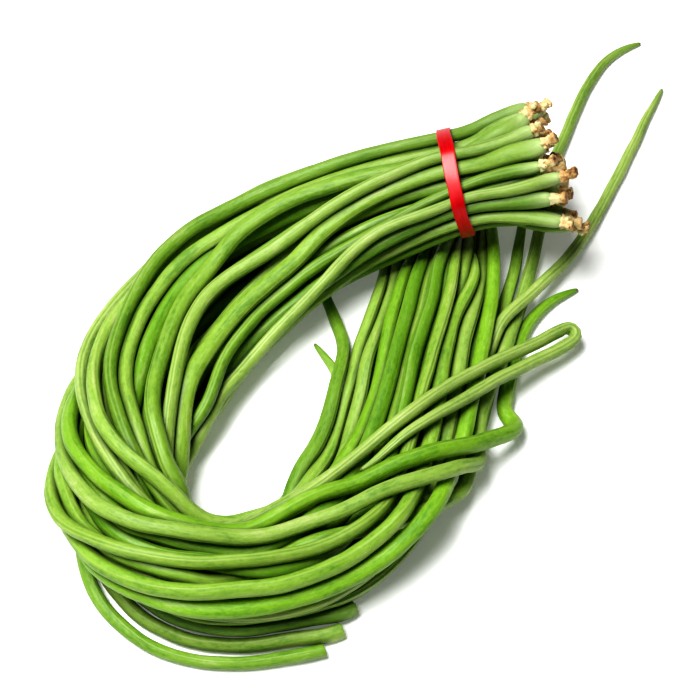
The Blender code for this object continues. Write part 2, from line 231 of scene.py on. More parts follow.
# --- the visible radius along a pod -------------------------------------------
STUB = 4.4                 # the pod proper starts this far from the stem end
SHOULDER = (
    (STUB, 0.44), (STUB + 0.5, 0.65), (STUB + 1.4, 0.84), (STUB + 3.0, 0.98),
    (STUB + 6.0, 1.07), (STUB + 10.0, 1.10), (22.0, 1.09), (36.0, 0.86), (58.0, 0.84),
    (115.0, 0.98), (165.0, 1.0),
)


def visible_radius(s, length, full, snapped):
    marks = list(SHOULDER)
    if snapped:
        marks += [(length - 10.0, 1.0), (length - 1.0, 0.97), (length, 0.93)]
    else:
        marks += [
            (length - 90.0, 1.0), (length - 55.0, 0.94), (length - 30.0, 0.82), (length - 16.0, 0.68),
            (length - 9.0, 0.56), (length - 5.0, 0.46), (length - 2.5, 0.37), (length - 0.8, 0.27), (length, 0.14),
        ]
    at = np.array([m[0] for m in marks])
    share = np.array([m[1] for m in marks])
    return full * np.interp(s, at, share)


def wave(s, scale, seed):
    """Smooth noise along a line, from about -1 to 1."""
    return np.array([noise.noise(Vector((x / scale, 17.3 * seed, 4.1))) for x in s]) * 1.6


lines, fulls, lengths = [], [], []
for name in POD_NODES:
    centres, radii = middle_line(frame["nodes"][name])
    lines.append(smooth_line(centres, RUN_LINE))
    fulls.append(float(np.max(radii[travelled(centres) > 80.0])))
start = np.concatenate([[0], np.cumsum([len(q) for q in lines])])
points = np.vstack(lines)
contact, wander = [], []
for k, q in enumerate(lines):
    s = travelled(q)
    snapped = POD_NODES[k] in SNAPPED
    contact.append(np.maximum(1.3, visible_radius(s, s[-1], fulls[k], snapped)))
    grip = np.clip((s - 60.0) / 60.0, 0, 1)[:, None]
    side = np.stack([wave(s, 55.0, k + 0.2), wave(s, 55.0, k + 40.2), 0.7 * wave(s, 55.0, k + 80.2)], 1)
    fine = np.stack([wave(s, 17.0, k + 120.2), wave(s, 17.0, k + 160.2), 0.5 * wave(s, 17.0, k + 200.2)], 1)
    wander.append((1.3 * side + 0.28 * fine) * grip)
points = settle(points, np.concatenate(contact), start, np.vstack(wander))
lines = [points[start[k]:start[k + 1]] for k in range(len(POD_NODES))]


# --- frames along a line -------------------------------------------------------
def frames_along(p, first):
    """Directions across the line that turn with it and never spin about it."""
    way = np.gradient(p, axis=0)
    way /= np.linalg.norm(way, axis=1)[:, None]
    side = first - way[0] * (first @ way[0])
    side /= np.linalg.norm(side)
    out = [side]
    for k in range(len(p) - 1):
        v1 = p[k + 1] - p[k]
        c1 = v1 @ v1
        moved = out[-1] - (2 / c1) * (v1 @ out[-1]) * v1
        turned = way[k] - (2 / c1) * (v1 @ way[k]) * v1
        v2 = way[k + 1] - turned
        c2 = v2 @ v2
        if c2 > 1e-12:
            moved = moved - (2 / c2) * (v2 @ moved) * v2
        moved -= way[k + 1] * (moved @ way[k + 1])
        out.append(moved / np.linalg.norm(moved))
    side = np.array(out)
    return way, side, np.cross(way, side)


# --- how near the next pod is, for the painted shade where pods touch ------------
BESIDE_POINTS, BESIDE_RADII, BESIDE_POD = [], [], []
for k, line in enumerate(lines):
    q = evenly(line, 1.6)
    s = travelled(q)
    BESIDE_POINTS.append(q)
    BESIDE_RADII.append(visible_radius(s, s[-1], fulls[k], POD_NODES[k] in SNAPPED))
    BESIDE_POD.append(np.full(len(q), k))
BESIDE_POINTS, BESIDE_RADII, BESIDE_POD = np.vstack(BESIDE_POINTS), np.concatenate(BESIDE_RADII), np.concatenate(BESIDE_POD)
BESIDE = kdtree.KDTree(len(BESIDE_POINTS))
for spot, v in enumerate(BESIDE_POINTS):
    BESIDE.insert(v, spot)
BESIDE.balance()


def painted_crease_shade(k, centre, ring):
    """Strength of the painted shade: 1 where the skin touches another pod, down to 0 where it lies open."""
    found = [spot for _, spot, _ in BESIDE.find_range(centre, 11.5) if BESIDE_POD[spot] != k]
    if not found:
        return np.zeros(len(ring))
    found = np.array(found)
    gap = np.linalg.norm(ring[:, None] - BESIDE_POINTS[found][None], axis=2) - BESIDE_RADII[found][None]
    return np.clip(1 - gap.min(1) / 2.4, 0, 1)


# --- pods ------------------------------------------------------------------------
def suture(angle):
    """Height of the skin, as a share of the radius: a groove with a raised
    line on each side at the front suture, and a plain raised line behind."""
    a = np.degrees(np.abs((angle + math.pi) % math.tau - math.pi))
    b = 180 - a
    groove = np.exp(-((a / 5.5) ** 2))
    ridge = np.exp(-(((a - 15.0) / 7.0) ** 2))
    back = np.exp(-((b / 6.5) ** 2))
    height = -0.045 * groove + 0.045 * ridge + 0.040 * back - 0.022 * np.exp(-(((b - 17) / 7.0) ** 2))
    return height, groove, np.maximum(ridge, 0.8 * back)


def new_mesh(name, verts, faces):
    mesh = bpy.data.meshes.new(name)
    mesh.from_pydata([tuple(v) for v in np.asarray(verts) / 1000], [], faces)
    mesh.update()
    mesh.polygons.foreach_set("use_smooth", [True] * len(mesh.polygons))
    return mesh


def point_floats(mesh, name, values):
    made = mesh.attributes.new(name, "FLOAT", "POINT")
    made.data.foreach_set("value", np.asarray(values, np.float32))


def point_vectors(mesh, name, values):
    made = mesh.attributes.new(name, "FLOAT_VECTOR", "POINT")
    made.data.foreach_set("vector", np.asarray(values, np.float32).ravel())


def pod_piece(k, name):
    line, full = lines[k], fulls[k]
    snapped = name in SNAPPED
    p = evenly(line, STEP)
    s = travelled(p)
    length = s[-1]
    # The pod proper starts above the stub; extra rings where it turns in.
    stations = [STUB, STUB + 0.3, STUB + 0.8, STUB + 1.5, STUB + 2.4, STUB + 3.5]
    stations += list(np.arange(STUB + 4.8, length - 12.0, STEP))
    stations += [length - d for d in (10.5, 9.0, 7.5, 6.0, 4.6, 3.4, 2.4, 1.6, 0.9, 0.4, 0.0)]
    stations = np.array(stations)
    rings = np.stack([np.interp(stations, s, p[:, c]) for c in range(3)], 1)
    lift = Vector((0, 0, 1))
    way, side, up = frames_along(rings, np.array(lift))
    luck = np.random.RandomState(100 + k).rand(12)
    turn = math.tau * luck[0] + 0.9 * wave(stations, 170.0, k + 300.5)
    if name == HAIRPIN:
        # This pod shows its front suture on the arm that lies uppermost.
        top = int(np.argmin(np.abs(stations - 0.72 * length)))
        for look in range(len(stations)):
            if look >= len(stations) * 0.66:
                top = look
                break
        facing = np.array([-0.25, -0.42, 0.87])
        want = math.atan2(facing @ up[top], facing @ side[top])
        turn = want + 0.25 * wave(stations, 170.0, k + 300.5)
    radius = visible_radius(stations, length, full, snapped)
    body = np.clip((stations - 25) / 40, 0, 1) * np.clip((length - 20 - stations) / 40, 0, 1)
    radius = radius * (1 + 0.045 * body * wave(stations, 42.0, k + 400.5) + 0.014 * body * wave(stations, 9.0, k + 440.5))
    # Seeds: faint swellings, not quite evenly spaced, fading out towards both ends.
    seeds, at = [], 30.0 + 12.0 * luck[1]
    draw = np.random.RandomState(500 + k)
    while at < length - 20:
        seeds.append(at)
        at += 10.5 + 5.0 * draw.rand()
    seeds = np.array(seeds)
    swell = np.exp(-(((stations[:, None] - seeds[None, :]) / 3.6) ** 2)).sum(1)
    swell *= body * (0.35 + 0.65 * np.clip(0.5 + wave(stations, 90.0, k + 480.5), 0, 1))
    flat = 0.045 + 0.065 * luck[2] + 0.035 * body * wave(stations, 60.0, k + 520.5)
    flat = flat + 0.06 * np.clip((40 - stations) / 30, 0, 1)
    height, groove, ridge = suture(ANGLES)
    verts, run, groove_at, ridge_at, neck_at, tip_at, painted_crease_shade_at = [], [], [], [], [], [], []
    flute = 3 + int(3 * luck[3])
    fade = np.clip((stations - STUB) / 14, 0, 1) * np.clip((length - stations) / 9, 0, 1)
    # Where a pod is folded its inner side buckles and it spreads sideways.
    curl = np.gradient(way, axis=0) / np.gradient(stations)[:, None]
    for _ in range(2):
        curl[1:-1] = 0.5 * curl[1:-1] + 0.25 * (curl[:-2] + curl[2:])
    tight = np.linalg.norm(curl, axis=1)
    toward = curl / np.maximum(tight, 1e-9)[:, None]
    fold = np.clip((tight * radius - 0.16) / 0.40, 0, 1) * fade
    # The skin is never quite even: soft lumps, and small dents between them.
    lumps = np.array([
        [
            0.030 * noise.noise(Vector((x / 8.0, 1.3 * math.cos(t) + 9.0 * k, 1.3 * math.sin(t))))
            + 0.013 * noise.noise(Vector((x / 3.2, 2.8 * math.cos(t), 2.8 * math.sin(t) + 5.0 * k)))
            for t in ANGLES
        ]
        for x in stations
    ])
    for i in range(len(stations)):
        theta = ANGLES
        around = np.cos(theta + turn[i])[:, None] * side[i] + np.sin(theta + turn[i])[:, None] * up[i]
        inner = around @ toward[i]
        buckle = 1 - 0.42 * fold[i] * np.clip(inner, 0, 1) ** 1.5 + 0.14 * fold[i] * (1 - inner**2)
        share = buckle * (
            1
            + flat[i] * np.cos(2 * theta)
            + fade[i] * height
            + 0.028 * swell[i] * (0.6 - 0.4 * np.cos(2 * theta))
            + (0.010 + 0.008 * luck[5]) * fade[i] * np.cos(flute * theta + 5 * luck[4] + 0.008 * stations[i])
            + 0.006 * fade[i] * np.cos((flute + 4) * theta + 7 * luck[6] - 0.011 * stations[i])
            + fade[i] * lumps[i]
        )
        r = radius[i] * share
        cos, sin = np.cos(theta + turn[i]), np.sin(theta + turn[i])
        ring = rings[i] + (r * cos)[:, None] * side[i] + (r * sin)[:, None] * up[i]
        verts.append(ring)
        # Painted shade: how strongly this ring's skin is darkened where it lies against another pod.
        painted_crease_shade_at.append(painted_crease_shade(k, rings[i], ring))
        run.append(np.stack([np.full(len(theta), stations[i]), 3.8 * np.cos(theta), 3.8 * np.sin(theta)], 1))
        groove_at.append(groove * fade[i])
        ridge_at.append(ridge * fade[i])
        neck_at.append(np.full(len(theta), np.clip(1 - (stations[i] - STUB) / 13.0, 0, 1)))
        tip_at.append(np.full(len(theta), 0.0 if snapped else np.clip(1 - (length - stations[i]) / 16.0, 0, 1)))
    sides, faces = len(ANGLES), []
    verts, run = np.vstack(verts), np.vstack(run)
    verts[:, 2] = np.maximum(verts[:, 2], 0.0)
    count = len(stations)
    for i in range(count - 1):
        for j in range(sides):
            a, b = i * sides + j, i * sides + (j + 1) % sides
            faces.append((a, b, b + sides, a + sides))
    extra, extra_run, extra_tip = [], [], []
    if snapped:
        # A torn end: the wall's thickness, then a hollow with its torn middle.
        ragged = np.random.RandomState(900 + k)
        tilt = 0.45 * (ragged.rand() - 0.5)
        last = (count - 1) * sides
        for j in range(sides):
            verts[last + j] += way[-1] * (0.5 * (ragged.rand() - 0.5) + 2.4 * tilt * math.cos(ANGLES[j] + 1.0))
        previous = last
        for inset, deep in ((0.80, 0.10), (0.70, -0.9), (0.34, -0.6)):
            base = len(verts) + len(extra)
            for j in range(sides):
                v = rings[-1] + (verts[last + j] - rings[-1]) * inset + way[-1] * (deep + 0.25 * (ragged.rand() - 0.5))
                extra.append(v)
                extra_run.append((length + 1.0 - inset, 3.8 * inset * math.cos(ANGLES[j]), 3.8 * inset * math.sin(ANGLES[j])))
                extra_tip.append(1.0)
            for j in range(sides):
                a, b = previous + j, previous + (j + 1) % sides
                c, d = base + j, base + (j + 1) % sides
                faces.append((a, b, d, c))
            previous = base
        extra.append(rings[-1] - way[-1] * 0.5)
        extra_run.append((length + 1.0, 0.0, 0.0))
        extra_tip.append(1.0)
        pole = len(verts) + len(extra) - 1
        faces += [(previous + j, previous + (j + 1) % sides, pole) for j in range(sides)]
    else:
        extra.append(rings[-1] + way[-1] * 0.25)
        extra_run.append((length + 0.3, 0.0, 0.0))
        extra_tip.append(1.0)
        pole = len(verts)
        last = (count - 1) * sides
        faces += [(last + j, last + (j + 1) % sides, pole) for j in range(sides)]
    extra.append(rings[0] - way[0] * 0.15)
    extra_run.append((STUB - 0.2, 0.0, 0.0))
    extra_tip.append(0.0)
    pole = len(verts) + len(extra) - 1
    faces += [((j + 1) % sides, j, pole) for j in range(sides)]
    full_verts = np.vstack([verts, np.array(extra)])
    mesh = new_mesh(name + "_skin", full_verts, faces)
    zeros = np.zeros(len(extra))
    point_vectors(mesh, "run", np.vstack([run, np.array(extra_run)]) / 1000)
    point_floats(mesh, "groove", np.concatenate([np.concatenate(groove_at), zeros]))
    point_floats(mesh, "ridge", np.concatenate([np.concatenate(ridge_at), zeros]))
    # The painted shade where pods touch, carried to the material.
    point_floats(mesh, "painted_crease_shade", np.concatenate([np.concatenate(painted_crease_shade_at), zeros]))
    neck = np.concatenate([np.concatenate(neck_at), zeros])
    neck[-1] = 1.0
    point_floats(mesh, "neck", neck)
    point_floats(mesh, "tip", np.concatenate([np.concatenate(tip_at), np.array(extra_tip)]))
    # Strips of skin side by side, for whoever paints the pod later.
    rows = 5
    per = math.ceil((count - 1) / rows)
    where = np.zeros((len(mesh.loops), 2), np.float32)
    spot = 0
    for index, face in enumerate(mesh.polygons):
        if index < (count - 1) * sides:
            i, j = divmod(index, sides)
            row, column = divmod(i, per)
            lo, hi = (row + 0.04) / (rows + 1), (row + 0.96) / (rows + 1)
            v0, v1 = lo + (hi - lo) * j / sides, lo + (hi - lo) * (j + 1) / sides
            u0, u1 = 0.01 + 0.98 * column / per, 0.01 + 0.98 * (column + 1) / per
            where[spot:spot + 4] = ((u0, v0), (u0, v1), (u1, v1), (u1, v0))
        else:
            for m, vert in enumerate(face.vertices):
                local = full_verts[vert] - rings[-1 if np.linalg.norm(full_verts[vert] - rings[-1]) < 12 else 0]
                end = -1 if np.linalg.norm(full_verts[vert] - rings[-1]) < 12 else 0
                cx = 0.25 if end == 0 else 0.75
                where[spot + m] = (cx + 0.016 * (local @ side[end]), (rows + 0.5) / (rows + 1) + 0.016 * (local @ up[end]))
        spot += len(face.vertices)
    uv = mesh.uv_layers.new(name="OFBake")
    uv.data.foreach_set("uv", where.ravel())
    obj = bpy.data.objects.new("pod_" + name[-2:], mesh)
    bpy.context.scene.collection.objects.link(obj)
    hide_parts(name)
    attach(obj, "root")
    return obj


# --- materials ---------------------------------------------------------------------
def material(name):
    made = bpy.data.materials.new(name)
    made.use_nodes = True
    tree = made.node_tree
    return made, tree, tree.nodes["Principled BSDF"]


def attribute(tree, name, output="Fac"):
    node = tree.nodes.new("ShaderNodeAttribute")
    node.attribute_name = name
    return node.outputs[output]


def maths(tree, what, a, b=None, clamp=False):
    node = tree.nodes.new("ShaderNodeMath")
    node.operation = what
    node.use_clamp = clamp
    for socket, value in zip(node.inputs, (a, b)):
        if value is None:
            continue
        if isinstance(value, (int, float)):
            socket.default_value = value
        else:
            tree.links.new(value, socket)
    return node.outputs[0]


def noise_node(tree, vector, stretch, scale, detail, rough=0.5, offset=(0, 0, 0)):
    place = tree.nodes.new("ShaderNodeMapping")
    place.inputs["Scale"].default_value = stretch
    place.inputs["Location"].default_value = offset
    tree.links.new(vector, place.inputs["Vector"])
    made = tree.nodes.new("ShaderNodeTexNoise")
    made.inputs["Scale"].default_value = scale
    made.inputs["Detail"].default_value = detail
    made.inputs["Roughness"].default_value = rough
    tree.links.new(place.outputs[0], made.inputs["Vector"])
    return made.outputs["Fac"]


def ramp(tree, value, stops):
    node = tree.nodes.new("ShaderNodeValToRGB")
    element = node.color_ramp.elements
    while len(element) < len(stops):
        element.new(0.5)
    for e, (at, colour) in zip(element, stops):
        e.position = at
        e.color = (*colour, 1.0)
    tree.links.new(value, node.inputs[0])
    return node.outputs[0]


def mix(tree, share, a, b):
    node = tree.nodes.new("ShaderNodeMix")
    node.data_type = "RGBA"
    for socket, value in ((node.inputs["Factor"], share), (node.inputs[6], a), (node.inputs[7], b)):
        if isinstance(value, (int, float)):
            socket.default_value = value
        elif isinstance(value, tuple):
            socket.default_value = (*value, 1.0)
        else:
            tree.links.new(value, socket)
    return node.outputs[2]


def scaled(colour, by):
    return tuple(min(1.0, c * by) for c in colour)


def pod_skin(name, base, seed, snapped):
    made, tree, shader = material(name)
    run = attribute(tree, "run", "Vector")
    move = (3.7 * seed, 1.9 * seed, 0.7 * seed)
    patches = noise_node(tree, run, (0.30, 1, 1), 130.0, 4.0, 0.62, move)
    streaks = noise_node(tree, run, (0.05, 1, 1), 620.0, 3.0, 0.6, move)
    grain = noise_node(tree, run, (0.5, 1, 1), 720.0, 4.0, 0.68, move)
    value = maths(tree, "MULTIPLY_ADD", patches, 1.25)
    tree.nodes[-1].inputs[2].default_value = -0.125
    fine = maths(tree, "MULTIPLY_ADD", streaks, 0.60)
    tree.nodes[-1].inputs[2].default_value = -0.30
    dots = maths(tree, "MULTIPLY_ADD", grain, 0.90)
    tree.nodes[-1].inputs[2].default_value = -0.45
    value = maths(tree, "ADD", maths(tree, "ADD", value, fine), dots, clamp=True)
    dark = (base[0] * 0.50, base[1] * 0.66, base[2] * 0.40)
    pale = (min(1, base[0] * 1.35 + 0.07), min(1, base[1] * 1.10 + 0.05), base[2] * 1.6 + 0.065)
    colour = ramp(tree, value, ((0.18, dark), (0.48, base), (0.62, scaled(base, 1.08)), (0.86, pale)))
    ridge = maths(tree, "MULTIPLY", attribute(tree, "ridge"), 0.42)
    colour = mix(tree, ridge, colour, pale)
    groove = maths(tree, "MULTIPLY", attribute(tree, "groove"), 0.55)
    colour = mix(tree, groove, colour, scaled(dark, 0.9))
    # Painted shade: each pod is darker green over its first 50 mm from the stem end, fading out by 120 mm, where the
    # pods are packed together at the head of the bunch round the band.
    along = tree.nodes.new("ShaderNodeSeparateXYZ")
    tree.links.new(run, along.inputs[0])
    painted_head_shade = tree.nodes.new("ShaderNodeMapRange")
    tree.links.new(along.outputs[0], painted_head_shade.inputs["Value"])
    painted_head_shade.inputs["From Min"].default_value = 0.050
    painted_head_shade.inputs["From Max"].default_value = 0.120
    painted_head_shade.inputs["To Min"].default_value = 0.42
    painted_head_shade.inputs["To Max"].default_value = 0.0
    colour = mix(tree, painted_head_shade.outputs[0], colour, (0.150, 0.235, 0.045))
    neck = attribute(tree, "neck")
    patch = noise_node(tree, run, (0.5, 1, 1), 240.0, 2.0, 0.5, move)
    neck = maths(tree, "MULTIPLY", maths(tree, "POWER", neck, 1.3), maths(tree, "ADD", patch, 0.45), clamp=True)
    colour = mix(tree, neck, colour, (0.38, 0.49, 0.20))
    tip = attribute(tree, "tip")
    if snapped:
        colour = mix(tree, tip, colour, (0.50, 0.62, 0.22))
    else:
        colour = mix(tree, maths(tree, "MULTIPLY", tip, 0.5), colour, dark)
        end = maths(tree, "MULTIPLY", maths(tree, "GREATER_THAN", tip, 0.93), 0.65)
        colour = mix(tree, end, colour, (0.13, 0.10, 0.02))
    # Painted shade: the skin is darkened almost to black in the creases where the pods touch.
    near = maths(tree, "MULTIPLY", maths(tree, "POWER", attribute(tree, "painted_crease_shade"), 1.0), 0.88)
    colour = mix(tree, near, colour, (0.016, 0.040, 0.003))
    tree.links.new(colour, shader.inputs["Base Color"])
    rough = tree.nodes.new("ShaderNodeMapRange")
    tree.links.new(patches, rough.inputs["Value"])
    rough.inputs["From Min"].default_value = 0.3
    rough.inputs["From Max"].default_value = 0.7
    rough.inputs["To Min"].default_value = 0.56
    rough.inputs["To Max"].default_value = 0.42
    tree.links.new(rough.outputs[0], shader.inputs["Roughness"])
    shader.inputs["Specular IOR Level"].default_value = 0.45
    shader.inputs["IOR"].default_value = 1.45
    bump = tree.nodes.new("ShaderNodeBump")
    bump.inputs["Strength"].default_value = 0.7
    bump.inputs["Distance"].default_value = 0.00030
    height = maths(tree, "ADD", streaks, maths(tree, "MULTIPLY", grain, 0.8))
    tree.links.new(height, bump.inputs["Height"])
    tree.links.new(bump.outputs[0], shader.inputs["Normal"])
    return made


GREENS = (
    (0.205, 0.352, 0.040), (0.172, 0.318, 0.030), (0.236, 0.375, 0.058), (0.142, 0.300, 0.018),
    (0.225, 0.368, 0.046), (0.158, 0.308, 0.036), (0.240, 0.370, 0.066), (0.185, 0.360, 0.022),
)
# The hairpin and the two that lie out to the back right are riper and paler.
PALER = {HAIRPIN: (0.285, 0.415, 0.090), "bean_19": (0.290, 0.420, 0.090), "bean_29": (0.250, 0.390, 0.068)}
pods = []
order = np.random.RandomState(21).permutation(len(POD_NODES))
for k, name in enumerate(POD_NODES):
    pod = pod_piece(k, name)
    tint = GREENS[int(order[k]) % len(GREENS)]
    tint = PALER.get(name, tint)
    shade = 0.92 + 0.16 * np.random.RandomState(300 + k).rand()
    pod.data.materials.append(pod_skin("skin_" + name[-2:], scaled(tint, shade), k + 1.0, name in SNAPPED))
    pods.append(pod)


# --- dry stem ends --------------------------------------------------------------
def stub_profile(luck):
    """(distance from the end, radius, lobes) of a cut stem and its calyx."""
    knob = 2.05 + 0.75 * luck[0]
    waist = 1.50 + 0.50 * luck[1]
    cup = 1.90 + 0.55 * luck[2]
    return (
        (0.0, 0.74 * knob, 0.10), (0.15, 0.93 * knob, 0.12), (0.5, knob, 0.12), (1.0, 0.98 * knob, 0.08),
        (1.5, 0.5 * (knob + waist), 0.06), (2.0, waist, 0.06), (2.4, 1.06 * waist, 0.09), (2.8, 0.55 * (waist + cup), 0.15),
        (3.2, 0.92 * cup, 0.20), (3.7, 1.06 * cup, 0.24), (4.2, 1.14 * cup, 0.27), (4.7, 1.20 * cup, 0.32),
        (5.1, 1.10 * cup, 0.36),
    )


def stem_ends():
    verts, faces, tone, grain = [], [], [], []
    sides = 18
    for k, name in enumerate(POD_NODES):
        draw = np.random.RandomState(700 + k)
        luck = draw.rand(8)
        line = lines[k]
        s = travelled(line)
        base = np.array([np.interp(STUB, s, line[:, c]) for c in range(3)])
        ahead = np.array([np.interp(STUB + 5, s, line[:, c]) for c in range(3)])
        way = ahead - base
        way /= np.linalg.norm(way)
        first = np.array((0.0, 0.0, 1.0))
        side = first - way * (first @ way)
        side /= np.linalg.norm(side)
        up = np.cross(way, side)
        lean = 1.5 * (luck[3:5] - 0.5)
        longer = 0.8 + 0.85 * luck[5]
        begin = len(verts)
        profile = stub_profile(luck)
        for index, (at, r, lobes) in enumerate(profile):
            back = STUB - at                      # from the pod back to the cut end
            reach = back * longer if back > 0 else back
            centre = base - way * reach
            bent = max(0.0, back) / STUB
            centre = centre + (side * lean[0] + up * lean[1]) * bent**1.6 * 1.7
            for j in range(sides):
                angle = math.tau * j / sides
                lobe = 1 + lobes * math.cos(5 * angle + 6 * luck[6])
                v = centre + (side * math.cos(angle) + up * math.sin(angle)) * r
                rough = 1 + 0.16 * noise.noise(Vector(tuple(v * 0.9)))
                verts.append(centre + (v - centre) * lobe * rough)
                tone.append((0.35 + 0.65 * luck[7]) * (0.45 + 0.55 * at / 5.1))
                grain.append(at)
        rings = len(profile)
        for i in range(rings - 1):
            for j in range(sides):
                a, b = begin + i * sides + j, begin + i * sides + (j + 1) % sides
                faces.append((a, b, b + sides, a + sides))
        start_centre = np.mean(verts[begin:begin + sides], axis=0) + way * 0.3
        end_centre = np.mean(verts[begin + (rings - 1) * sides:begin + rings * sides], axis=0) + way * 0.5
        verts += [start_centre, end_centre]
        tone += [0.05, 1.0]
        grain += [0.0, 6.7]
        pole = len(verts) - 2
        for j in range(sides):
            faces.append((begin + (j + 1) % sides, begin + j, pole))
            last = begin + (rings - 1) * sides
            faces.append((last + j, last + (j + 1) % sides, pole + 1))
        # Small knobs beside the stem, where other flowers dropped.
        for _ in range(2 + int(3 * draw.rand())):
            about, at = math.tau * draw.rand(), 0.6 + 3.0 * draw.rand()
            size = 0.85 + 0.80 * draw.rand()
            reach = (STUB - at) * longer
            centre = base - way * reach + (side * lean[0] + up * lean[1]) * ((STUB - at) / STUB) ** 1.6 * 1.7
            out = side * math.cos(about) + up * math.sin(about)
            centre = centre + out * (1.0 + 0.5 * size)
            tilt = out * 0.75 - way * (0.2 + 0.6 * draw.rand())
            tilt /= np.linalg.norm(tilt)
            one = np.cross(tilt, way)
            one /= np.linalg.norm(one)
            two = np.cross(tilt, one)
            begin = len(verts)
            ups, rounds = 6, 10
            shade = 0.2 + 0.8 * draw.rand()
            for i in range(1, ups):
                polar = math.pi * i / ups
                for j in range(rounds):
                    angle = math.tau * j / rounds
                    v = (
                        -tilt * math.cos(polar) * size * 1.35
                        + (one * math.cos(angle) + two * math.sin(angle)) * size * math.sin(polar)
                    )
                    v = v * (1 + 0.22 * noise.noise(Vector(tuple((centre + v) * 1.3))))
                    verts.append(centre + v)
                    tone.append(shade)
                    grain.append(at)
            verts += [centre - tilt * size * 1.35, centre + tilt * size * 1.3]
            tone += [shade, 0.1]
            grain += [at, at]
            low, high = len(verts) - 2, len(verts) - 1
            for i in range(ups - 2):
                for j in range(rounds):
                    a, b = begin + i * rounds + j, begin + i * rounds + (j + 1) % rounds
                    faces.append((a, b, b + rounds, a + rounds))
            for j in range(rounds):
                faces.append((begin + (j + 1) % rounds, begin + j, low))
                last = begin + (ups - 2) * rounds
                faces.append((last + j, last + (j + 1) % rounds, high))
    mesh = new_mesh("stem_ends", np.array(verts), faces)
    point_floats(mesh, "tone", tone)
    obj = bpy.data.objects.new("stem_ends", mesh)
    bpy.context.scene.collection.objects.link(obj)
    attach(obj, "root")
    made, tree, shader = material("dry_stem")
    where = tree.nodes.new("ShaderNodeTexCoord").outputs["Object"]
    blotch = noise_node(tree, where, (1, 1, 1), 420.0, 3.0, 0.6)
    fine = noise_node(tree, where, (1, 1, 1), 1600.0, 3.0, 0.65)
    value = maths(tree, "MULTIPLY_ADD", blotch, 1.3)
    tree.nodes[-1].inputs[2].default_value = -0.65
    value = maths(tree, "ADD", maths(tree, "ADD", value, attribute(tree, "tone")), maths(tree, "MULTIPLY", maths(tree, "SUBTRACT", fine, 0.5), 0.5), clamp=True)
    colour = ramp(tree, value, (
        (0.02, (0.12, 0.045, 0.012)), (0.22, (0.34, 0.175, 0.055)), (0.42, (0.55, 0.36, 0.15)),
        (0.62, (0.74, 0.56, 0.29)), (0.95, (0.64, 0.64, 0.34)),
    ))
    tree.links.new(colour, shader.inputs["Base Color"])
    rough = maths(tree, "MULTIPLY_ADD", fine, 0.25)
    tree.nodes[-1].inputs[2].default_value = 0.58
    tree.links.new(rough, shader.inputs["Roughness"])
    shader.inputs["Specular IOR Level"].default_value = 0.3
    bump = tree.nodes.new("ShaderNodeBump")
    bump.inputs["Strength"].default_value = 0.8
    bump.inputs["Distance"].default_value = 0.0004
    tree.links.new(fine, bump.inputs["Height"])
    tree.links.new(bump.outputs[0], shader.inputs["Normal"])
    mesh.materials.append(made)
    return obj


stems = stem_ends()


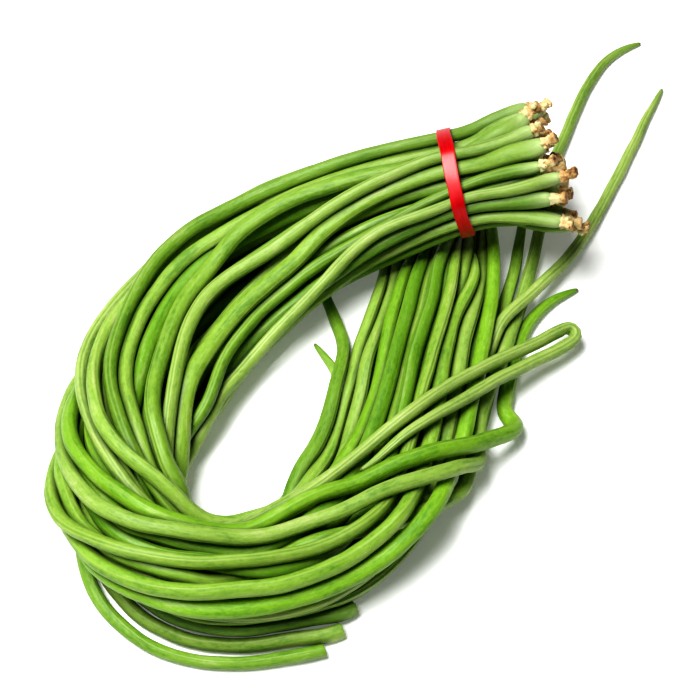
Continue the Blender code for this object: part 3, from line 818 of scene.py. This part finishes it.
# --- rubber band ------------------------------------------------------------------
def rubber_band():
    node = frame["nodes"]["rubber_band"]
    co = np.array([v.co for v in node.data.vertices], float) * 1000
    co = np.unique(np.round(co, 2), axis=0)
    centre = (co.min(0) + co.max(0)) / 2
    spread = np.linalg.eigh(np.cov((co - centre).T))[1]
    axis = spread[:, 0]
    if axis[0] < 0:
        axis = -axis
    centre = centre + axis * float(np.median((co - centre) @ axis))
    side = np.cross(axis, (0, 0, 1.0))
    side /= np.linalg.norm(side)
    lift = np.cross(side, axis)
    if lift[2] < 0:
        side, lift = -side, -lift
    marks = []
    for k, line in enumerate(lines):
        s = travelled(line)
        for t in np.arange(15.0, 95.0, 0.8):
            v = np.array([np.interp(t, s, line[:, c]) for c in range(3)]) - centre
            if abs(v @ axis) < 4.0:
                r = float(visible_radius(np.array([t]), s[-1], fulls[k], False)[0])
                marks.append((v @ side, v @ lift, r * 1.01))
    marks = np.array(marks)
    count = 288
    angles = math.tau * np.arange(count) / count
    reach = (marks[:, 0][None] * np.cos(angles)[:, None] + marks[:, 1][None] * np.sin(angles)[:, None] + marks[:, 2][None]).max(1)
    # The band rounds off the corners between the pods it touches.
    apart = np.minimum(np.arange(count), count - np.arange(count)) * 360.0 / count
    soft = np.exp(-0.5 * (apart / 8.0) ** 2)
    soft /= soft.sum()
    reach = np.array([float(np.roll(soft, m) @ reach) for m in range(count)]) + 0.25
    outline = []
    for m in range(count):
        one, two = angles[m], angles[m] + math.tau / count
        g, h = reach[m], reach[(m + 1) % count]
        den = math.sin(two - one)
        outline.append(((g * math.sin(two) - h * math.sin(one)) / den, (h * math.cos(one) - g * math.cos(two)) / den))
    outline = np.array(outline)
    closed = np.vstack([outline, outline[:1]])
    s = travelled(closed)
    total = 260
    t = np.linspace(0, s[-1], total + 1)[:-1]
    path = np.stack([np.interp(t, s, closed[:, c]) for c in range(2)], 1)
    for _ in range(3):
        path = 0.5 * path + 0.25 * (np.roll(path, 1, 0) + np.roll(path, -1, 0))
    ahead = np.roll(path, -1, 0) - np.roll(path, 1, 0)
    ahead /= np.linalg.norm(ahead, axis=1)[:, None]
    out = np.stack([ahead[:, 1], -ahead[:, 0]], 1)
    if (out * path).sum() < 0:
        out = -out
    half, thick, corner = 3.1, 1.05, 0.28
    section = []
    for cx, cy, begin in ((half - corner, thick - corner, 0), (-half + corner, thick - corner, 90), (-half + corner, corner, 180), (half - corner, corner, 270)):
        for step in range(4):
            angle = math.radians(begin + 30 * step)
            section.append((cx + corner * math.cos(angle), cy + corner * math.sin(angle)))
        if begin == 0:
            section += [(x, thick) for x in (1.9, 0.95, 0.0, -0.95, -1.9)]
        if begin == 180:
            section += [(x, 0.0) for x in (-1.9, -0.95, 0.0, 0.95, 1.9)]
    verts, run = [], []
    for m in range(total):
        about = math.tau * m / total
        bow = 0.55 * math.cos(about + 0.6) + 0.30 * math.cos(3 * about + 1.1) + 0.12 * math.cos(7 * about)
        wide = 1 + 0.045 * math.cos(2 * about + 2.0) + 0.02 * math.cos(9 * about)
        lean = 0.05 * math.sin(2 * about + 0.4)
        here = centre + side * path[m, 0] + lift * path[m, 1]
        outward = side * out[m, 0] + lift * out[m, 1]
        for x, y in section:
            cup = 0.035 * (x / half) ** 2 * (1 if y > thick / 2 else 0.4)
            verts.append(here + axis * (x * wide + bow) + outward * (y + 0.06 + cup + lean * x * 0.3))
            run.append((m * s[-1] / total, x, y))
    faces = []
    n = len(section)
    for m in range(total):
        for j in range(n):
            a, b = m * n + j, m * n + (j + 1) % n
            c, d = (m + 1) % total * n + j, (m + 1) % total * n + (j + 1) % n
            faces.append((a, b, d, c))
    mesh = new_mesh("rubber_band_skin", np.array(verts), faces)
    point_vectors(mesh, "run", np.array(run) / 1000)
    volume = sum(
        float(np.dot(verts[f[0]], np.cross(verts[f[1]], verts[f[2]]))) + float(np.dot(verts[f[0]], np.cross(verts[f[2]], verts[f[3]])))
        for f in faces
    )
    if volume < 0:
        mesh.flip_normals()
    obj = bpy.data.objects.new("band", mesh)
    bpy.context.scene.collection.objects.link(obj)
    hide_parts("rubber_band")
    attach(obj, "root")
    made, tree, shader = material("red_rubber")
    where = attribute(tree, "run", "Vector")
    streak = noise_node(tree, where, (0.10, 1, 1), 900.0, 3.0, 0.6)
    dust = noise_node(tree, where, (0.6, 1, 1), 260.0, 3.0, 0.6)
    value = maths(tree, "MULTIPLY_ADD", streak, 0.7)
    tree.nodes[-1].inputs[2].default_value = -0.1
    value = maths(tree, "ADD", value, maths(tree, "MULTIPLY", dust, 0.4), clamp=True)
    colour = ramp(tree, value, ((0.2, (0.34, 0.0, 0.002)), (0.5, (0.52, 0.001, 0.006)), (0.85, (0.64, 0.010, 0.022))))
    tree.links.new(colour, shader.inputs["Base Color"])
    rough = maths(tree, "MULTIPLY_ADD", dust, 0.22)
    tree.nodes[-1].inputs[2].default_value = 0.24
    tree.links.new(rough, shader.inputs["Roughness"])
    shader.inputs["Specular IOR Level"].default_value = 0.26
    shader.inputs["Coat Weight"].default_value = 0.12
    shader.inputs["Coat Roughness"].default_value = 0.18
    bump = tree.nodes.new("ShaderNodeBump")
    bump.inputs["Strength"].default_value = 0.4
    bump.inputs["Distance"].default_value = 0.0002
    tree.links.new(streak, bump.inputs["Height"])
    tree.links.new(bump.outputs[0], shader.inputs["Normal"])
    mesh.materials.append(made)
    return obj


band = rubber_band()


# --- floor, light and camera ------------------------------------------------------
bpy.ops.mesh.primitive_plane_add(size=8.0, location=(0, 0, -0.0002))
floor = bpy.context.object
floor.name = "floor"
made, tree, shader = material("pale_floor")
shader.inputs["Base Color"].default_value = (0.90, 0.90, 0.90, 1.0)
shader.inputs["Roughness"].default_value = 0.75
shader.inputs["Specular IOR Level"].default_value = 0.15
shader.inputs["Emission Color"].default_value = (1.0, 1.0, 1.0, 1.0)
shader.inputs["Emission Strength"].default_value = 0.11
floor.data.materials.append(made)


def softbox(name, place, aim, size, power):
    light = bpy.data.lights.new(name, "AREA")
    light.shape = "RECTANGLE"
    light.size, light.size_y = size
    light.energy = power
    obj = bpy.data.objects.new(name, light)
    obj.location = place
    obj.rotation_euler = (Vector(aim) - Vector(place)).to_track_quat("-Z", "Y").to_euler()
    bpy.context.scene.collection.objects.link(obj)
    return obj


softbox("key", (-0.36, -0.07, 1.2), (0.0, 0.0, 0.0), (0.6, 0.5), 20.7)
softbox("fill", (-0.9, -0.9, 1.0), (0.0, 0.0, 0.0), (1.0, 1.0), 0.7)

world = bpy.data.worlds.new("studio")
bpy.context.scene.world = world
world.use_nodes = True
world.node_tree.nodes["Background"].inputs["Color"].default_value = (1.0, 1.0, 1.0, 1.0)
world.node_tree.nodes["Background"].inputs["Strength"].default_value = 0.05

# The bunch is seen from the front, sixty degrees above the table.
ELEVATION, DISTANCE = 60.0, 0.750
AIM = Vector((-0.013973, -0.013143, 0.0))
camera_data = bpy.data.cameras.new("camera")
camera_data.sensor_width = 36.0
camera_data.lens = 36.0 * DISTANCE / (700 * 0.00045)
camera = bpy.data.objects.new("camera", camera_data)
e = math.radians(ELEVATION)
camera.location = AIM + DISTANCE * Vector((0.0, -math.cos(e), math.sin(e)))
camera.rotation_euler = (math.radians(90.0 - ELEVATION), 0.0, 0.0)
bpy.context.scene.collection.objects.link(camera)
bpy.context.scene.camera = camera
bpy.context.scene.view_settings.view_transform = "Standard"
bpy.context.scene.view_settings.look = "High Contrast"
bpy.context.scene.view_settings.exposure = 0.0
